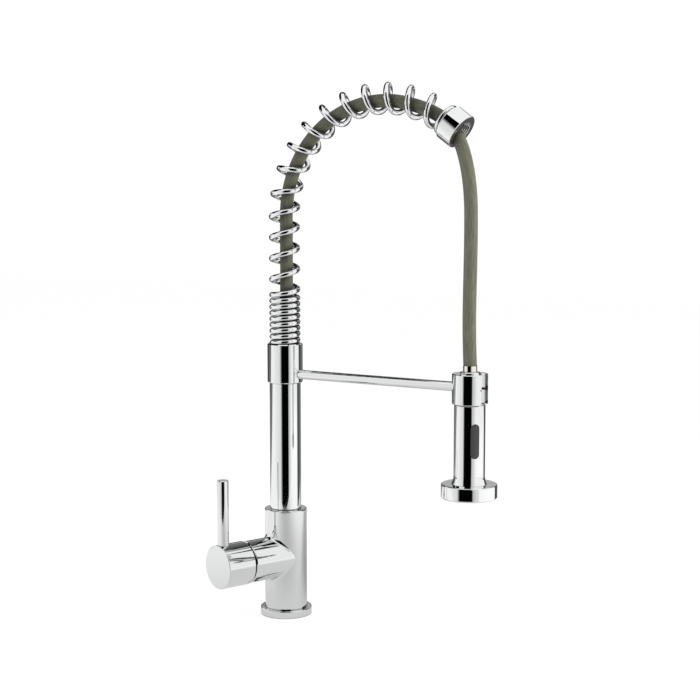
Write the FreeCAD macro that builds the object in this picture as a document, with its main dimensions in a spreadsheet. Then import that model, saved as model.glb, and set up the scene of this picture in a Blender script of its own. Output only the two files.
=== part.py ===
"""Pull-out kitchen mixer tap with a spring neck, in millimetres.

The origin is the centre of the deck hole on the deck. +Z is up and +X points along the arm, from the
column to the handset. The lever sits on the side of the column, turned by lever_angle from +X.
"""
import FreeCAD, Part
import math
import os
from types import SimpleNamespace

Vector = FreeCAD.Vector
UP = Vector(0, 0, 1)

SIZES = [
    ("fit_gap", 0.05, "radial gap of a close fit"),
    ("slip_gap", 0.3, "gap between curved faces that pass each other"),
    # Base ring and mixer body
    ("ring_r", 27.5, "base ring radius"),
    ("ring_height", 8.0, "base ring height"),
    ("ring_round", 1.2, "rounded top edge of the base ring"),
    ("seal_in_r", 21.6, "inner radius of the base seal"),
    ("seal_width", 3.2, "width of the base seal"),
    ("seal_height", 1.4, "height of the base seal"),
    ("spigot_r", 19.8, "spigot of the body inside the base ring"),
    ("body_lift", 0.5, "underside of the body above the deck"),
    ("column_r", 22.5, "radius of the column"),
    ("column_rise", 52.2, "top of the column above the lever axis"),
    ("column_round", 1.5, "rounded top edge of the column"),
    ("boss_r", 22.2, "radius of the side boss"),
    ("boss_over", 6.9, "boss beyond the housing of the cartridge"),
    ("boss_fillet", 4.0, "fillet between boss and column"),
    ("boss_chamfer", 0.8, "chamfer on the end of the boss"),
    ("lateral_z", 63.4, "height of the lever axis"),
    ("lever_angle", -111.2, "direction of the lever axis from +X, degrees"),
    ("cavity_r", 17.9, "bore for the cartridge"),
    ("cavity_floor", 12.0, "floor of that bore from the column axis"),
    ("socket_depth", 29.6, "depth of the swivel socket"),
    ("outlet_r", 4.5, "water way up to the spout"),
    ("port_r", 3.0, "ports of the cartridge"),
    ("inlet_x", 8.0, "inlet ports sideways from the lever axis"),
    ("inlet_drop", 5.0, "inlet ports below the lever axis"),
    ("outlet_rise", 7.0, "outlet port above the lever axis"),
    ("inlet_back", 4.0, "inlet tappings behind the column axis"),
    ("inlet_tap_r", 4.46, "core of the M10x1 inlet thread"),
    ("inlet_tap_depth", 14.0, "depth of the inlet thread"),
    ("stud_out", 11.0, "fixing stud from the column axis, under the boss"),
    ("stud_tap_r", 3.32, "core of the M8 stud thread"),
    ("stud_tap_depth", 16.0, "depth of the stud thread"),
    # Cartridge, inside out
    ("cartridge_r", 17.5, "outside of the cartridge"),
    ("gasket_height", 1.2, "gasket on the floor of the bore"),
    ("gasket_r", 15.0, "radius of the gasket"),
    ("cart_base_height", 5.0, "base of the cartridge"),
    ("disc_height", 4.0, "thickness of each ceramic disc"),
    ("disc_gap", 0.05, "lapped faces of the discs"),
    ("housing_wall", 1.9, "wall of the housing"),
    ("housing_front", 3.0, "front wall of the housing"),
    ("moving_disc_r", 13.3, "radius of the moving disc"),
    ("mixing_r", 8.0, "hollow in the moving disc"),
    ("mixing_depth", 2.0, "depth of that hollow"),
    ("carrier_height", 5.8, "plastic carrier on the moving disc"),
    ("disc_rest", 1.25, "moving disc below the axis when shut"),
    ("rotor_r", 15.3, "radius of the rotor"),
    ("rotor_neck_r", 9.2, "neck of the rotor"),
    ("rotor_length", 10.35, "rotor inside the housing"),
    ("rotor_neck", 2.0, "neck of the rotor beyond the housing"),
    ("pivot_rise", 4.45, "pivot of the spindle above the carrier"),
    ("pivot_pin_r", 1.5, "pivot pin"),
    ("knuckle_r", 4.4, "round knuckle of the spindle"),
    ("spindle_side", 8.0, "square of the spindle"),
    ("spindle_short", 12.3, "end of the spindle behind the face of the cap"),
    ("spindle_neck_r", 2.2, "neck behind the knuckle"),
    ("ball_r", 3.0, "ball that drives the carrier"),
    ("ball_reach", 7.2, "ball from the pivot"),
    ("slot_drop", 9.6, "slot of the rotor below the axis"),
    ("slot_rise", 5.2, "slot of the rotor above the axis"),
    ("nut_bore_r", 12.0, "bore of the ring nut"),
    ("nut_height", 5.0, "height of the ring nut"),
    # Lever
    ("seam", 2.0, "gap between boss and cap"),
    ("cap_r", 23.0, "radius of the cap"),
    ("cap_length", 33.3, "length of the cap"),
    ("cap_rim", 0.8, "chamfer on the rim of the cap"),
    ("cap_round", 0.7, "rounded edge of the face"),
    ("skirt_wall", 1.5, "wall of the cap round its hollow"),
    ("cap_hollow", 13.1, "depth of that hollow"),
    ("hub_r", 8.5, "hub on the spindle"),
    ("hub_inset", 5.1, "back of the hub inside the cap"),
    ("pin_r", 6.0, "radius of the pin lever"),
    ("pin_back", 7.3, "pin lever behind the face of the cap"),
    ("pin_seat", 9.0, "foot of the pin above the lever axis"),
    ("pin_rise", 91.8, "top of the pin above the lever axis"),
    ("pin_chamfer", 0.6, "chamfer on top of the pin"),
    ("cap_screw_r", 2.0, "grub screw in the cap"),
    ("cap_screw_back", 16.2, "that screw behind the face of the cap"),
    ("screw_sink", 1.5, "heads of grub screws below the surface"),
    ("hex_r", 1.0, "key hole in a grub screw"),
    ("hex_depth", 2.0, "depth of that key hole"),
    # Riser
    ("riser_r", 16.5, "radius of the riser tube"),
    ("riser_wall", 2.0, "wall of the riser tube"),
    ("slip_ring_r", 16.0, "slip ring under the riser"),
    ("slip_seat_depth", 2.0, "seat of the slip ring in the column"),
    ("slip_stand", 0.5, "slip ring above the column"),
    ("foot_r", 13.2, "foot of the riser in its socket"),
    ("foot_clear", 2.0, "foot above the floor of its socket"),
    ("foot_rise", 18.0, "foot inside the tube"),
    ("foot_bore_r", 5.0, "water way through the foot"),
    ("groove_depth", 2.2, "grooves for the sealing rings"),
    ("groove_height", 2.6, "height of those grooves"),
    ("lower_groove_rise", 6.0, "lower groove above the end of the foot"),
    ("upper_groove_rise", 13.0, "upper groove above the end of the foot"),
    ("lock_drop", 6.1, "locking screw below the top of the column"),
    ("lock_r", 2.4, "locking screw"),
    ("lock_groove_depth", 1.8, "groove for the tip of the screw"),
    ("nipple_r", 7.0, "hose nipple in the foot"),
    ("nipple_depth", 14.0, "nipple in the foot"),
    ("nipple_bore_r", 4.0, "bore of the nipple"),
    ("nipple_flange_r", 9.5, "flange of the nipple"),
    ("nipple_flange", 6.0, "height of that flange"),
    ("tail_sleeve_wall", 1.2, "crimped sleeve on the tail of the hose"),
    ("tail_sleeve", 18.0, "length of that sleeve"),
    ("plug_bore_r", 9.4, "bore of the plug on top of the riser"),
    ("plug_depth", 20.0, "plug inside the tube"),
    ("plug_neck_r", 13.0, "neck of the plug inside the collar"),
    ("plug_neck", 16.0, "height of that neck"),
    # Collar, arm and clip
    ("collar_r", 18.7, "radius of the collar"),
    ("riser_length", 135.55, "riser tube between column and collar"),
    ("collar_height", 41.4, "height of the collar"),
    ("collar_chamfer", 0.8, "chamfers of the collar"),
    ("collar_bore_r", 8.5, "passage for the hose"),
    ("spring_recess", 12.8, "recess for the foot of the spring"),
    ("spring_clear", 0.4, "gap round the spring in its recess"),
    ("collar_screw_r", 2.0, "grub screw of the collar"),
    ("arm_r", 4.85, "radius of the arm"),
    ("arm_rise", 9.2, "arm above the lower face of the collar"),
    ("arm_sunk", 4.2, "arm let into collar and clip"),
    ("arm_chamfer", 0.5, "chamfers of the arm"),
    ("hang_out", 11.112, "axis of the handset beyond the mouth of the ferrule"),
    ("clip_r", 18.0, "radius of the clip"),
    ("clip_drop", 16.1, "lower face of the clip below the arm"),
    ("clip_height", 30.4, "height of the clip"),
    ("clip_slot", 15.0, "slot for the hose"),
    ("clip_chamfer", 0.6, "chamfers of the clip"),
    ("pad_in", 8.0, "inner end of the pads in the slot from the handset axis"),
    ("pad_out", 15.7, "outer end of those pads from the handset axis"),
    ("pad_depth", 1.0, "depth of those pads in the wall of the slot"),
    ("pad_height", 2.2, "height of those pads"),
    # Spring, hose and ferrule
    ("arch_r", 120.0, "radius of the arch at the middle of the spring"),
    ("spring_straight", 134.4, "start of the arch above the collar"),
    ("arch_turn", 125.5, "turn of the arch, degrees"),
    ("coil_r", 13.6, "radius of the coil at the middle of its wire"),
    ("wire_r", 2.9, "radius of the spring wire"),
    ("coil_start", 21.5, "turn of the first coil from the outside of the arch, degrees"),
    ("tight_pitch", 6.33, "pitch of the tight turns"),
    ("open_pitch", 22.0, "pitch of the open turns below the arch"),
    ("closing_run", 3.0, "straight end of the spring behind the ferrule"),
    ("leg_bend", 7.0, "bend of the foot of the wire"),
    ("hose_r", 6.8, "radius of the hose"),
    ("hose_lean", 2.4, "hose off the middle of the spring"),
    ("lean_up", 2.9, "hose above the collar where it starts to lean"),
    ("lean_length", 56.0, "length over which it leans"),
    ("leave_turn", 3.0, "turn past the arch where the hose leaves its curve, degrees"),
    ("ferrule_r", 18.4, "radius of the ferrule"),
    ("ferrule_length", 18.5, "length of the ferrule"),
    ("ferrule_wall", 3.0, "end wall of the ferrule"),
    ("ferrule_spigot", 5.0, "spigot of the ferrule inside the last turn"),
    ("ferrule_chamfer", 1.2, "chamfer towards the spring"),
    ("ferrule_edge", 0.5, "chamfer on the outer mouth"),
    ("ferrule_passage_r", 9.8, "passage through the spigot"),
    ("ferrule_bore_r", 11.2, "bore of the ferrule"),
    ("ferrule_mouth", 0.6, "rounded lip of that bore"),
    ("relief_gap", 0.25, "gap round the hose in the relief of that lip"),
    ("relief_back", 7.0, "relief behind the place where the hose leaves"),
    ("thread_depth", 0.6, "depth of the thread in that bore"),
    ("thread_pitch", 2.0, "pitch of that thread"),
    ("mouth_inset", 2.0, "hose leaves the spring this far inside the mouth"),
    ("mouth_drop", 5.4, "hose off the axis of the ferrule there"),
    ("fall_out", 9.43, "first corner of the hose beyond the mouth"),
    ("fall_drop", 9.26, "that corner off the axis of the ferrule"),
    ("hang_drop", 55.3, "hose hangs plumb this far below the ferrule"),
    # Handset
    ("neck_r", 10.25, "neck of the handset in the clip"),
    ("neck_stand", 1.8, "neck above the clip"),
    ("neck_chamfer", 0.7, "chamfer on top of the neck"),
    ("neck_flange_r", 12.5, "flange of the neck inside the shell"),
    ("neck_flange", 4.0, "height of that flange"),
    ("neck_hollow_r", 8.7, "hollow of the neck"),
    ("neck_lip", 18.6, "lip of the neck over the hose sleeve"),
    ("sleeve_r", 7.1, "crimped sleeve at the handset"),
    ("sleeve_stand", 6.0, "sleeve above the neck"),
    ("sleeve_flange_r", 8.5, "flange of the sleeve under the lip"),
    ("sleeve_flange", 3.0, "height of that flange"),
    ("nose_r", 6.0, "nose of the sleeve in the valve"),
    ("nose", 5.0, "length of that nose"),
    ("sleeve_bore_r", 3.5, "bore of the sleeve"),
    ("washer_height", 1.5, "washer under the flange"),
    ("valve_r", 8.5, "non-return valve"),
    ("valve_bore_r", 4.0, "bore of the valve"),
    ("shell_r", 15.7, "radius of the handset"),
    ("shell_wall", 2.0, "wall of the handset"),
    ("shell_top_wall", 4.5, "top wall of the handset"),
    ("shell_round", 1.5, "rounded top edge of the handset"),
    ("shell_gap", 0.3, "handset below the clip"),
    ("flange_r", 28.3, "flange of the handset"),
    ("flange_height", 14.4, "height of the flange"),
    ("shell_length", 80.5, "handset above its flange"),
    ("flange_round", 1.5, "rounded edges of the flange"),
    ("flare_foot_r", 17.8, "foot of the flare on the flange"),
    ("flare_height", 9.0, "height of the flare"),
    ("flange_wall", 3.0, "wall of the flange round the spray face"),
    ("face_sunk", 0.8, "spray face inside the flange"),
    ("face_height", 7.6, "thickness of the spray face"),
    ("chamber", 3.0, "water chamber behind the face"),
    ("core_r", 13.4, "core of the handset"),
    ("core_bore_r", 5.0, "water way in the core"),
    ("aerator_r", 9.0, "aerator"),
    ("aerator_lip", 1.5, "rim of the aerator"),
    ("aerator_hollow", 2.5, "hollow of the aerator"),
    ("nozzle_r", 1.1, "nozzles"),
    ("nozzle_stand", 0.6, "nozzles below the face"),
    ("nozzle_length", 4.0, "length of a nozzle"),
    ("outer_nozzles", 18, "nozzles in the outer ring"),
    ("nozzle_inset", 4.3, "outer ring of nozzles inside the edge of the face"),
    ("inner_nozzles", 12, "nozzles in the inner ring"),
    ("inner_nozzle_r", 14.5, "inner ring of nozzles"),
    # Button in the side of the handset
    ("button_turn", -43.5, "button from +X round the handset, degrees"),
    ("button_drop", 35.5, "middle of the button below the top of the handset"),
    ("button_length", 34.4, "length of the button"),
    ("button_width", 8.7, "width of the button"),
    ("button_face", 15.35, "face of the button from the handset axis"),
    ("button_back", 10.9, "back of the button from the handset axis"),
    ("button_lip", 1.2, "lip behind the shell"),
    ("button_lip_width", 0.9, "lip beyond the button"),
    ("button_travel", 1.5, "travel of the button"),
    ("plunger_r", 2.5, "plunger behind the button"),
    ("plunger_tip", 4.0, "tip of the plunger from the handset axis"),
    ("return_r", 4.2, "return spring of the button"),
    ("return_wall", 1.1, "section of that spring"),
    ("return_seat", 6.2, "seat of that spring from the handset axis"),
]
# Quarter turns of the spring: tight, opening out, open below the arch, open round the arch, flat
TIGHT_QUARTERS = 36
RAMP_QUARTERS = 3
OPEN_QUARTERS = 17
ARCH_QUARTERS = 40
FLAT_QUARTERS = 2
# Fall of the pitch from the middle of the arch to its end, and the share left in its last quarter
PITCH_FALL = 0.04
EASING = 0.6
# Rings of thread in the bore of the ferrule
THREAD_RINGS = 4
# Second corner of the hanging hose, as shares of the way across and down from the first to the last
SECOND_CORNER = (0.727, 0.483)


class Size:
    """A length with its number and the text that binds it to the sheet."""

    def __init__(self, value, text):
        self.value = value
        self.text = text

    def __add__(self, other):
        other = as_size(other)
        return Size(self.value + other.value, f"({self.text} + {other.text})")

    def __sub__(self, other):
        other = as_size(other)
        return Size(self.value - other.value, f"({self.text} - {other.text})")

    def __mul__(self, other):
        other = as_size(other)
        return Size(self.value * other.value, f"({self.text} * {other.text})")

    def __truediv__(self, other):
        other = as_size(other)
        return Size(self.value / other.value, f"({self.text} / {other.text})")

    def __neg__(self):
        return Size(-self.value, f"(0 - {self.text})")


def as_size(thing):
    return thing if isinstance(thing, Size) else Size(thing, repr(thing))


doc = FreeCAD.newDocument("mixer_tap")
sheet = doc.addObject("Spreadsheet::Sheet", "sizes")
named = {}
for row, (alias, number, meaning) in enumerate(SIZES, 1):
    sheet.set(f"A{row}", meaning)
    sheet.set(f"B{row}", str(number))
    sheet.setAlias(f"B{row}", alias)
    named[alias] = Size(number, f"sizes.{alias}")
doc.recompute()
s = SimpleNamespace(**named)
nodes = []


def bind(thing, name, size):
    """Bind one property of a feature to the sheet."""
    setattr(thing, name, as_size(size).value)
    if isinstance(size, Size):
        thing.setExpression(name, size.text)


def place(thing, x=0, y=0, z=0, axes=None):
    """Put a feature or body at x, y, z, with its axes turned."""
    at = [as_size(v) for v in (x, y, z)]
    spot = Vector(*[v.value for v in at])
    thing.Placement = FreeCAD.Placement(spot, axes or FreeCAD.Rotation())
    for letter, size in zip("xyz", at):
        if "sizes" in size.text:
            thing.setExpression(f"Placement.Base.{letter}", size.text)


def axes_to(direction):
    """Turn local Z to a direction."""
    return FreeCAD.Rotation(UP, direction)


class Bend:
    """An outline's next corner, reached along an arc; side is 1 to the left, -1 to the right."""

    def __init__(self, across, along, radius, side=1):
        self.corner = (across, along)
        self.radius = as_size(radius)
        self.side = side


def arc_between(start, end, radius, side):
    """The short arc from start to end in a sketch."""
    chord = end - start
    half = chord.Length / 2
    rise = math.sqrt(max(radius * radius - half * half, 0))
    left = Vector(-chord.y, chord.x, 0).normalize()
    middle = (start + end) * 0.5 + left * (rise * side)
    first, last = (start, end) if side > 0 else (end, start)
    begin = math.atan2(first.y - middle.y, first.x - middle.x)
    finish = math.atan2(last.y - middle.y, last.x - middle.x)
    return Part.ArcOfCircle(Part.Circle(middle, UP, radius), begin, finish)


def draw(sketch, outline):
    """Draw a closed outline and bind each of its corners to the sheet."""
    import Sketcher
    corners = [item.corner if isinstance(item, Bend) else item for item in outline]
    corners = [(as_size(a), as_size(b)) for a, b in corners]
    points = [Vector(a.value, b.value, 0) for a, b in corners]
    ends = []
    for index, point in enumerate(points):
        following = (index + 1) % len(points)
        item = outline[following]
        if isinstance(item, Bend):
            arc = arc_between(point, points[following], item.radius.value, item.side)
            edge = sketch.addGeometry(arc, False)
            ends.append((edge, 1, 2) if item.side > 0 else (edge, 2, 1))
        else:
            edge = sketch.addGeometry(Part.LineSegment(point, points[following]), False)
            ends.append((edge, 1, 2))
    for index, (edge, head, tail) in enumerate(ends):
        after, after_head, _ = ends[(index + 1) % len(ends)]
        sketch.addConstraint(Sketcher.Constraint("Coincident", edge, tail, after, after_head))
    for (edge, head, _), (across, along) in zip(ends, corners):
        for kind, size, axis in (("DistanceX", across, -2), ("DistanceY", along, -1)):
            if size.value == 0:
                sketch.addConstraint(Sketcher.Constraint("PointOnObject", edge, head, axis))
                continue
            held = Sketcher.Constraint(kind, -1, 1, edge, head, size.value)
            number = sketch.addConstraint(held)
            if "sizes" in size.text:
                sketch.setExpression(f"Constraints[{number}]", size.text)
    for index, (edge, _, _) in enumerate(ends):
        item = outline[(index + 1) % len(outline)]
        if isinstance(item, Bend):
            held = Sketcher.Constraint("Radius", edge, item.radius.value)
            number = sketch.addConstraint(held)
            sketch.setExpression(f"Constraints[{number}]", item.radius.text)


def feature(body, kind, name):
    made = body.newObject(f"PartDesign::{kind}", f"{body.Label}_{name}")
    return made


def turned(label, outline):
    """A body made by turning an outline of (radius, height) about its own Z axis."""
    body = doc.addObject("PartDesign::Body", label)
    plane = [f for f in body.Origin.OriginFeatures if f.Role == "XZ_Plane"][0]
    sketch = body.newObject("Sketcher::SketchObject", f"{label}_outline")
    sketch.AttachmentSupport = [(plane, "")]
    sketch.MapMode = "FlatFace"
    draw(sketch, outline)
    turn = feature(body, "Revolution", "turn")
    turn.Profile = sketch
    turn.ReferenceAxis = (sketch, ["V_Axis"])
    turn.Angle = 360
    body.Tip = turn
    nodes.append(body)
    doc.recompute()
    return body


def rod(body, name, radius, length, x=0, y=0, z=0, axes=None, kind="Subtractive"):
    """Drill a round hole in a body, or add a round rod to it."""
    made = feature(body, f"{kind}Cylinder", name)
    bind(made, "Radius", radius)
    bind(made, "Height", length)
    place(made, x, y, z, axes)
    body.Tip = made
    doc.recompute()
    return made


def block(body, name, sides, x=0, y=0, z=0, axes=None, kind="Subtractive"):
    """Cut a square hole in a body, or add a block to it; x, y, z is its lowest corner."""
    made = feature(body, f"{kind}Box", name)
    for side, size in zip(("Length", "Width", "Height"), sides):
        bind(made, side, size)
    place(made, x, y, z, axes)
    body.Tip = made
    doc.recompute()
    return made


def ring_of(body, original, count):
    """Repeat a hole round the body's own Z axis."""
    axis = [f for f in body.Origin.OriginFeatures if f.Role == "Z_Axis"][0]
    pattern = feature(body, "PolarPattern", f"{original.Label}_ring")
    pattern.Originals = [original]
    pattern.Axis = (axis, [""])
    pattern.Angle = 360
    pattern.Occurrences = int(count.value)
    pattern.setExpression("Occurrences", count.text)
    body.Tip = pattern
    doc.recompute()
    return pattern


def solid_node(label, shape):
    """A node whose shape is worked out by Part's own functions."""
    made = doc.addObject("Part::Feature", label)
    made.Shape = shape
    nodes.append(made)
    return made


def grub_screw(label, radius, length):
    """A headless screw along local Z, with its key hole at the top."""
    return turned(label, [
        (0, 0), (radius, 0), (radius, length), (s.hex_r, length),
        (s.hex_r, length - s.hex_depth), (0, length - s.hex_depth)])


# The lever axis: local Z runs out along it, local Y is up
turn_angle = math.radians(s.lever_angle.value)
OUT = Vector(math.cos(turn_angle), math.sin(turn_angle), 0)
SIDE = UP.cross(OUT)
LEVER_AXES = FreeCAD.Rotation(SIDE, UP, OUT, "ZYX")
along_out_x = Size(OUT.x, "cos(sizes.lever_angle * 1 deg)")
along_out_y = Size(OUT.y, "sin(sizes.lever_angle * 1 deg)")


def on_lever(body):
    place(body, z=s.lateral_z, axes=LEVER_AXES)


def deck_spot(sideways, outwards):
    """The deck point beside and along the lever axis."""
    x = along_out_x * outwards - along_out_y * sideways
    y = along_out_y * outwards + along_out_x * sideways
    return x, y


# Base ring and seal
seal_out_r = s.seal_in_r + s.seal_width
turned("base_ring", [
    (s.spigot_r + s.fit_gap, 0),
    (s.seal_in_r - s.fit_gap, 0), (s.seal_in_r - s.fit_gap, s.seal_height),
    (seal_out_r + s.fit_gap, s.seal_height), (seal_out_r + s.fit_gap, 0),
    (s.ring_r, 0), (s.ring_r, s.ring_height - s.ring_round),
    Bend(s.ring_r - s.ring_round, s.ring_height, s.ring_round),
    (s.spigot_r + s.fit_gap, s.ring_height)])
turned("base_seal", [
    (s.seal_in_r, 0), (seal_out_r, 0), (seal_out_r, s.seal_height), (s.seal_in_r, s.seal_height)])

# The cartridge along the lever axis, from the floor of its bore outwards; the boss covers it
gasket_top = s.cavity_floor + s.gasket_height
base_top = gasket_top + s.cart_base_height
fixed_top = base_top + s.disc_height
moving_floor = fixed_top + s.disc_gap
moving_top = moving_floor + s.disc_height
carrier_top = moving_top + s.carrier_height
pivot_u = carrier_top + s.pivot_rise
rotor_floor = carrier_top + s.slip_gap
front_back = rotor_floor + s.rotor_length + s.slip_gap
housing_end = front_back + s.housing_front
rotor_neck_end = housing_end + s.rotor_neck
boss_end = housing_end + s.boss_over

# Mixer body: column with the swivel socket, side boss with the bore for the cartridge
column_top = s.lateral_z + s.column_rise
socket_floor = column_top - s.socket_depth
lock_z = column_top - s.lock_drop
mixer_body = turned("mixer_body", [
    (0, s.body_lift), (s.spigot_r, s.body_lift), (s.spigot_r, s.ring_height),
    (s.column_r, s.ring_height), (s.column_r, column_top - s.column_round),
    Bend(s.column_r - s.column_round, column_top, s.column_round), (0, column_top)])
boss = rod(mixer_body, "boss", s.boss_r, boss_end, 0, 0, s.lateral_z,
           FreeCAD.Rotation(UP, -SIDE, OUT, "ZXY"), "Additive")


def edges_where(shape, test):
    return [f"Edge{i}" for i, edge in enumerate(shape.Edges, 1) if test(edge)]


def is_junction(edge):
    return edge.Curve.TypeId == "Part::GeomBSplineCurve"


def is_boss_rim(edge):
    flat = edge.Curve.TypeId == "Part::GeomCircle"
    return flat and abs(edge.CenterOfMass.dot(OUT) - boss_end.value) < 0.01


fillet = feature(mixer_body, "Fillet", "junction")
fillet.Base = (boss, edges_where(boss.Shape, is_junction))
bind(fillet, "Radius", s.boss_fillet)
mixer_body.Tip = fillet
doc.recompute()
rim = feature(mixer_body, "Chamfer", "rim")
rim.Base = (fillet, edges_where(fillet.Shape, is_boss_rim))
bind(rim, "Size", s.boss_chamfer)
mixer_body.Tip = rim
doc.recompute()

slip_seat_z = column_top - s.slip_seat_depth
overrun = 1.0
rod(mixer_body, "slip_seat", s.slip_ring_r + s.fit_gap, s.slip_seat_depth, z=slip_seat_z)
rod(mixer_body, "socket", s.foot_r + s.fit_gap, column_top - socket_floor, z=socket_floor)
rod(mixer_body, "outlet", s.outlet_r, column_top - s.lateral_z, z=s.lateral_z)
rod(mixer_body, "cavity", s.cavity_r, boss_end - s.cavity_floor + overrun,
    along_out_x * s.cavity_floor, along_out_y * s.cavity_floor, s.lateral_z, LEVER_AXES)
rod(mixer_body, "outlet_port", s.port_r, s.cavity_floor + overrun, 0, 0,
    s.lateral_z + s.outlet_rise, LEVER_AXES)
for side_name, sideways in (("cold", s.inlet_x), ("hot", -s.inlet_x)):
    inlet_spot = deck_spot(sideways, -s.inlet_back)
    rod(mixer_body, f"{side_name}_tapping", s.inlet_tap_r, s.inlet_tap_depth, *inlet_spot, s.body_lift)
    rod(mixer_body, f"{side_name}_rise", s.port_r, s.lateral_z - s.inlet_drop - s.body_lift,
        *inlet_spot, s.body_lift)
    rod(mixer_body, f"{side_name}_port", s.port_r, s.cavity_floor + s.inlet_back + overrun,
        *inlet_spot, s.lateral_z - s.inlet_drop, LEVER_AXES)
rod(mixer_body, "stud_tapping", s.stud_tap_r, s.stud_tap_depth, *deck_spot(0, s.stud_out), s.body_lift)
BACK = axes_to(Vector(-1, 0, 0))
rod(mixer_body, "lock_hole", s.lock_r + s.fit_gap, s.column_r, -s.foot_r + s.lock_groove_depth, 0,
    lock_z, BACK)


# Cartridge in its bore
def drill_ports(body, floor, height):
    """The two inlet ports and the outlet port through a plate of the cartridge."""
    rod(body, "cold_port", s.port_r, height, s.inlet_x, -s.inlet_drop, floor)
    rod(body, "hot_port", s.port_r, height, -s.inlet_x, -s.inlet_drop, floor)
    rod(body, "outlet_port", s.port_r, height, 0, s.outlet_rise, floor)


def plate(label, radius, floor, height):
    """A round plate on the lever axis."""
    return turned(label, [(0, floor), (radius, floor), (radius, floor + height), (0, floor + height)])


housing_bore_r = s.cartridge_r - s.housing_wall
gasket = plate("cartridge_gasket", s.gasket_r, s.cavity_floor, s.gasket_height)
drill_ports(gasket, s.cavity_floor, s.gasket_height)
on_lever(gasket)
cart_base = plate("cartridge_base", s.cartridge_r, gasket_top, s.cart_base_height)
drill_ports(cart_base, gasket_top, s.cart_base_height)
on_lever(cart_base)
fixed_disc = plate("fixed_disc", housing_bore_r - s.slip_gap, base_top, s.disc_height)
drill_ports(fixed_disc, base_top, s.disc_height)
on_lever(fixed_disc)
housing = turned("cartridge_housing", [
    (housing_bore_r, base_top), (s.cartridge_r, base_top), (s.cartridge_r, housing_end),
    (s.rotor_neck_r + s.slip_gap, housing_end), (s.rotor_neck_r + s.slip_gap, front_back),
    (housing_bore_r, front_back)])
on_lever(housing)
nut = turned("cartridge_nut", [
    (s.nut_bore_r, housing_end), (s.cavity_r - s.fit_gap, housing_end),
    (s.cavity_r - s.fit_gap, housing_end + s.nut_height),
    (s.nut_bore_r, housing_end + s.nut_height)])
on_lever(nut)

# Moving disc and its carrier, pushed across the fixed disc by the ball of the spindle
moving_disc = plate("moving_disc", s.moving_disc_r, moving_floor, s.disc_height)
rod(moving_disc, "mixing_hollow", s.mixing_r, s.mixing_depth, z=moving_floor)
place(moving_disc, z=s.lateral_z - s.disc_rest, axes=LEVER_AXES)
carrier = plate("disc_carrier", s.moving_disc_r, moving_top, s.carrier_height)
rod(carrier, "ball_hole", s.ball_r + s.slip_gap, s.carrier_height, y=s.disc_rest, z=moving_top)
place(carrier, z=s.lateral_z - s.disc_rest, axes=LEVER_AXES)

# Rotor: turns with the lever, and its pin lets the spindle tip
ACROSS = axes_to(Vector(1, 0, 0))
rotor = turned("rotor", [
    (0, rotor_floor), (s.rotor_r, rotor_floor), (s.rotor_r, front_back - s.slip_gap),
    (s.rotor_neck_r, front_back - s.slip_gap), (s.rotor_neck_r, rotor_neck_end),
    (0, rotor_neck_end)])
slot_half = s.spindle_side / 2 + s.slip_gap
block(rotor, "slot", (slot_half * 2, s.slot_drop + s.slot_rise, rotor_neck_end - rotor_floor),
      -slot_half, -s.slot_drop, rotor_floor)
rod(rotor, "pin_hole", s.pivot_pin_r, s.rotor_r * 2, -s.rotor_r, 0, pivot_u, ACROSS)
on_lever(rotor)
pin_half = s.rotor_r - s.housing_wall
pivot_pin = turned("pivot_pin", [
    (0, 0), (s.pivot_pin_r, 0), (s.pivot_pin_r, pin_half * 2), (0, pin_half * 2)])
place(pivot_pin, *deck_spot(-pin_half, pivot_u), s.lateral_z, axes_to(SIDE))

# Spindle: its ball drives the carrier, its square carries the cap
cap_back = boss_end + s.seam
cap_end = cap_back + s.cap_length
spindle_end = cap_end - s.spindle_short
ball_u = pivot_u - s.ball_reach
neck_drop = math.sqrt(s.ball_r.value ** 2 - s.spindle_neck_r.value ** 2)
ball_neck_u = ball_u + Size(neck_drop, "sqrt(sizes.ball_r ^ 2 - sizes.spindle_neck_r ^ 2)")
spindle = turned("spindle", [
    (0, ball_u - s.ball_r), Bend(s.ball_r, ball_u, s.ball_r),
    Bend(s.spindle_neck_r, ball_neck_u, s.ball_r),
    (s.spindle_neck_r, pivot_u), (0, pivot_u)])
half_side = s.spindle_side / 2
rod(spindle, "knuckle", s.knuckle_r, s.spindle_side, -half_side, 0, pivot_u, ACROSS, "Additive")
block(spindle, "square", (s.spindle_side, s.spindle_side, spindle_end - pivot_u),
      -half_side, -half_side, pivot_u, kind="Additive")
rod(spindle, "pin_hole", s.pivot_pin_r + s.fit_gap, s.spindle_side, -half_side, 0, pivot_u, ACROSS)
on_lever(spindle)

# Cap, hollow so that it passes over the boss when it tips, with the upright pin screwed into it
cap_floor = cap_back + s.cap_hollow
hub_back = cap_back + s.hub_inset
pin_u = cap_end - s.pin_back
cap_screw_u = cap_end - s.cap_screw_back
hollow_r = s.cap_r - s.skirt_wall
lever_cap = turned("lever_cap", [
    (0, hub_back), (s.hub_r, hub_back), (s.hub_r, cap_floor), (hollow_r, cap_floor),
    (hollow_r, cap_back), (s.cap_r - s.cap_rim, cap_back), (s.cap_r, cap_back + s.cap_rim),
    (s.cap_r, cap_end - s.cap_round), Bend(s.cap_r - s.cap_round, cap_end, s.cap_round),
    (0, cap_end)])
square_hole = s.spindle_side + s.fit_gap * 2
block(lever_cap, "square_hole",
      (square_hole, square_hole, spindle_end + s.slip_gap - hub_back),
      -(square_hole / 2), -(square_hole / 2), hub_back)
rod(lever_cap, "pin_hole", s.pin_r + s.fit_gap, s.cap_r, 0, s.pin_seat, pin_u,
    axes_to(Vector(0, 1, 0)))
rod(lever_cap, "screw_hole", s.cap_screw_r + s.fit_gap, s.cap_r, 0, 0, cap_screw_u,
    axes_to(Vector(0, -1, 0)))
on_lever(lever_cap)
pin_length = s.pin_rise - s.pin_seat
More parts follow.
